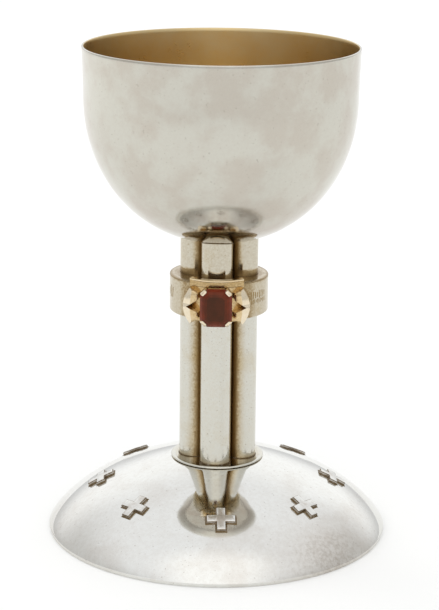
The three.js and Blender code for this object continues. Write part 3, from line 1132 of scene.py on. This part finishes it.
class CHALICE_OT_setting(bpy.types.Operator):
    """Files and burnishes the gold setting: plate, bar, wings and claws"""

    bl_idname = "chalice.setting"
    bl_label = "Setting"

    def execute(self, context):
        sizes = context.scene.chalice_sizes
        collar = sizes.collar_radius / MM
        parts = []
        darks = []
        for points, faces, dark in self.shapes(sizes, collar):
            parts.append((turned_front(points), faces))
            darks.extend(dark)
        points, faces = joined(parts)
        setting = mesh_piece("jewel_setting_gold", points, faces, None, darks, 28)
        gold = material_of(burnished_pink_gold)
        dressed(setting, [gold], "gold", "jewel_setting")
        return {"FINISHED"}

    def shapes(self, sizes, collar):
        middle = SETTING_MIDDLE
        # The plate, the bar and its upper edge: how proud, from and to which height, and
        # how much painted shade each gets.
        bands = ((1.4, -6.4, 7.4, 0.8), (1.7, 7.0, 9.3, 0.85), (2.0, 9.1, 10.0, 0.5))
        for proud, low, high, dark in bands:
            made = self.band(collar + 0.1, collar + proud, middle + low, middle + high)
            yield (*made, [dark] * len(made[0]))
        for side in (-1, 1):
            yield wing(side, collar, middle)
        # Painted shade in the seat round the stone.
        cuts = ((0.55, collar - 1.0), (0.55, GIRDLE - 1.45), (1.3, GIRDLE - 1.42))
        seat = lofted([octagon(sizes, inset, distance) for inset, distance in cuts])
        yield (*seat, [0.9] * len(seat[0]))
        for side_x, side_z in ((-1, -1), (-1, 1), (1, -1), (1, 1)):
            points, faces = self.claw(sizes, side_x, side_z)
            # Painted shade on each claw where it meets the collar.
            darks = [0.5 * (1 - smoothstep(2.5, 4.2, -y - collar)) for _, y, _ in points]
            yield points, faces, darks

    def band(self, inner, outer, low, high):
        """A piece of tube round the collar, as wide as the setting's front."""
        half_width = 10.2
        steps = 28
        lift = 0.35
        edge = 0.22
        rings = []
        for i in range(steps + 1):
            along = 2 * i / steps - 1
            turn = math.asin(half_width / outer) * along
            up = lift * along**2
            section = [
                (inner, high), (outer - edge, high), (outer, high - edge),
                (outer, low + edge), (outer - edge, low), (inner, low),
            ]
            rings.append([(r * math.sin(turn), -r * math.cos(turn), z + up) for r, z in section])
        return lofted(rings)

    def claw(self, sizes, side_x, side_z):
        """One corner claw: a rounded bar over the stone's cut corner."""
        long, wide = 2.9, 1.4
        front = GIRDLE + 1.55
        corner = sizes.stone_corner / MM / 2
        x = side_x * (sizes.stone_width / MM / 2 - corner)
        z = side_z * (sizes.stone_height / MM / 2 - corner)
        turn = side_x * side_z * math.radians(45)
        layers = [
            (0.0, GIRDLE - 1.9), (0.0, GIRDLE + 0.3), (0.18, front - 0.4),
            (0.34, front - 0.08), (0.42, front),
        ]
        rings = []
        for inset, distance in layers:
            a, b = long / 2 - inset, wide / 2 - inset
            ring = []
            for u, v in cut_corners(a, b, min(0.3, b * 0.6)):
                px = u * math.cos(turn) + v * math.sin(turn) - side_x * inset / math.sqrt(2)
                pz = -u * math.sin(turn) + v * math.cos(turn) - side_z * inset / math.sqrt(2)
                ring.append((x + px, -distance, SETTING_MIDDLE + z + pz))
            rings.append(ring)
        return lofted(rings)


class CHALICE_OT_stage(bpy.types.Operator):
    """Sets the pale floor, the soft light and the camera"""

    bl_idname = "chalice.stage"
    bl_label = "Stage"

    def execute(self, context):
        self.floor()
        self.surround(context.scene)
        self.lamp(context.scene)
        self.camera(context.scene)
        context.scene.view_settings.view_transform = "Standard"
        return {"FINISHED"}

    def floor(self):
        radius, steps = 4000.0, 8
        profile = [(radius * i / steps, -0.05) for i in reversed(range(steps + 1))]
        points, faces = turned(profile, 96)
        floor = mesh_piece("stage_floor", points, faces)
        floor.data.materials.append(material_of(pale_studio_paper))

    def surround(self, scene):
        """A white tent all round, brighter above than along the floor."""
        world = bpy.data.worlds.new("white_tent")
        scene.world = world
        world.use_nodes = True
        tree = world.node_tree
        tree.nodes.clear()
        where = node(tree, "TexCoord", out="Generated")
        across, ahead, up = node(tree, "SeparateXYZ", {"Vector": where}).node.outputs
        aside = node(tree, "Math", {0: across}, operation="ABSOLUTE")
        # Each patch of the tent: its colour, its share, and where it fades in.
        patches = (
            ("#dddee0", 1.0, ((up, 0.0, 0.34),)),
            ("#eeeff0", 1.0, ((up, 0.0, 0.34), (ahead, 0.55, 0.85))),
            ("#b4b4b3", 0.75, ((aside, 0.35, 0.85), (up, 0.85, 0.35), (ahead, 0.85, 0.4))),
            ("#f4f4f4", 1.0, ((aside, 0.62, 0.2), (ahead, -0.05, -0.35), (up, 0.0, 0.34))),
        )
        tone = linear("#bfc0c1")
        for hex_colour, amount, fades in patches:
            for fade in fades:
                shown = dict(enumerate(fade))
                shown = node(tree, "MapRange", shown, **SOFT)
                amount = node(tree, "Math", {0: amount, 1: shown}, operation="MULTIPLY")
            laid = {0: amount, 6: tone, 7: linear(hex_colour)}
            tone = node(tree, "Mix", laid, **COLOURS)
        light = node(tree, "Background", {"Strength": 1.42, "Color": tone})
        node(tree, "OutputWorld", {"Surface": light})

    def lamp(self, scene):
        """A large soft lamp behind the object, at the left."""
        data = bpy.data.lights.new("back_left", "AREA")
        data.shape = "DISK"
        data.size = 0.9
        data.energy = 4.0
        lamp = bpy.data.objects.new("back_left", data)
        lamp.location = (-1.1, 1.0, 1.2)
        lamp.visible_glossy = False
        aim = Vector((0.0, 0.0, 0.1)) - lamp.location
        lamp.rotation_euler = aim.to_track_quat("-Z", "Y").to_euler()
        scene.collection.objects.link(lamp)

    def camera(self, scene):
        data = bpy.data.cameras.new("viewpoint")
        data.sensor_fit = "VERTICAL"
        data.sensor_height = 36.0
        data.sensor_width = 36.0
        data.lens = 116.94
        data.clip_end = 20.0
        camera = bpy.data.objects.new("viewpoint", data)
        pitch, roll = 0.2663, 0.0112
        place = Matrix.Translation((0.0003, -0.73978, 0.29124))
        tilt = Matrix.Rotation(math.pi / 2 - pitch, 4, "X")
        camera.matrix_world = place @ tilt @ Matrix.Rotation(roll, 4, "Z")
        scene.collection.objects.link(camera)
        scene.camera = camera


STEPS = ("foot", "dish", "columns", "collar", "bowl", "crosses", "setting", "stone", "stage")


class CHALICE_PT_panel(bpy.types.Panel):
    """Lists the chalice's pieces, sizes and colours"""

    bl_idname = "CHALICE_PT_panel"
    bl_label = "Chalice"
    bl_space_type = "VIEW_3D"
    bl_region_type = "UI"
    bl_category = "Chalice"

    def draw(self, context):
        for step in STEPS:
            self.layout.operator(f"chalice.{step}")
        for group in (context.scene.chalice_sizes, context.scene.chalice_finish):
            for key in group.__annotations__:
                self.layout.prop(group, key)


CLASSES = (
    ChaliceSizes, ChaliceFinish, CHALICE_OT_foot, CHALICE_OT_dish, CHALICE_OT_columns,
    CHALICE_OT_collar, CHALICE_OT_bowl, CHALICE_OT_crosses, CHALICE_OT_setting,
    CHALICE_OT_stone, CHALICE_OT_stage, CHALICE_PT_panel,
)


def register():
    for cls in CLASSES:
        bpy.utils.register_class(cls)
    bpy.types.Scene.chalice_sizes = PointerProperty(type=ChaliceSizes)
    bpy.types.Scene.chalice_finish = PointerProperty(type=ChaliceFinish)


def unregister():
    del bpy.types.Scene.chalice_finish
    del bpy.types.Scene.chalice_sizes
    for cls in reversed(CLASSES):
        bpy.utils.unregister_class(cls)


def main():
    register()
    for step in STEPS:
        getattr(bpy.ops.chalice, step)()


if __name__ == "__main__":
    main()
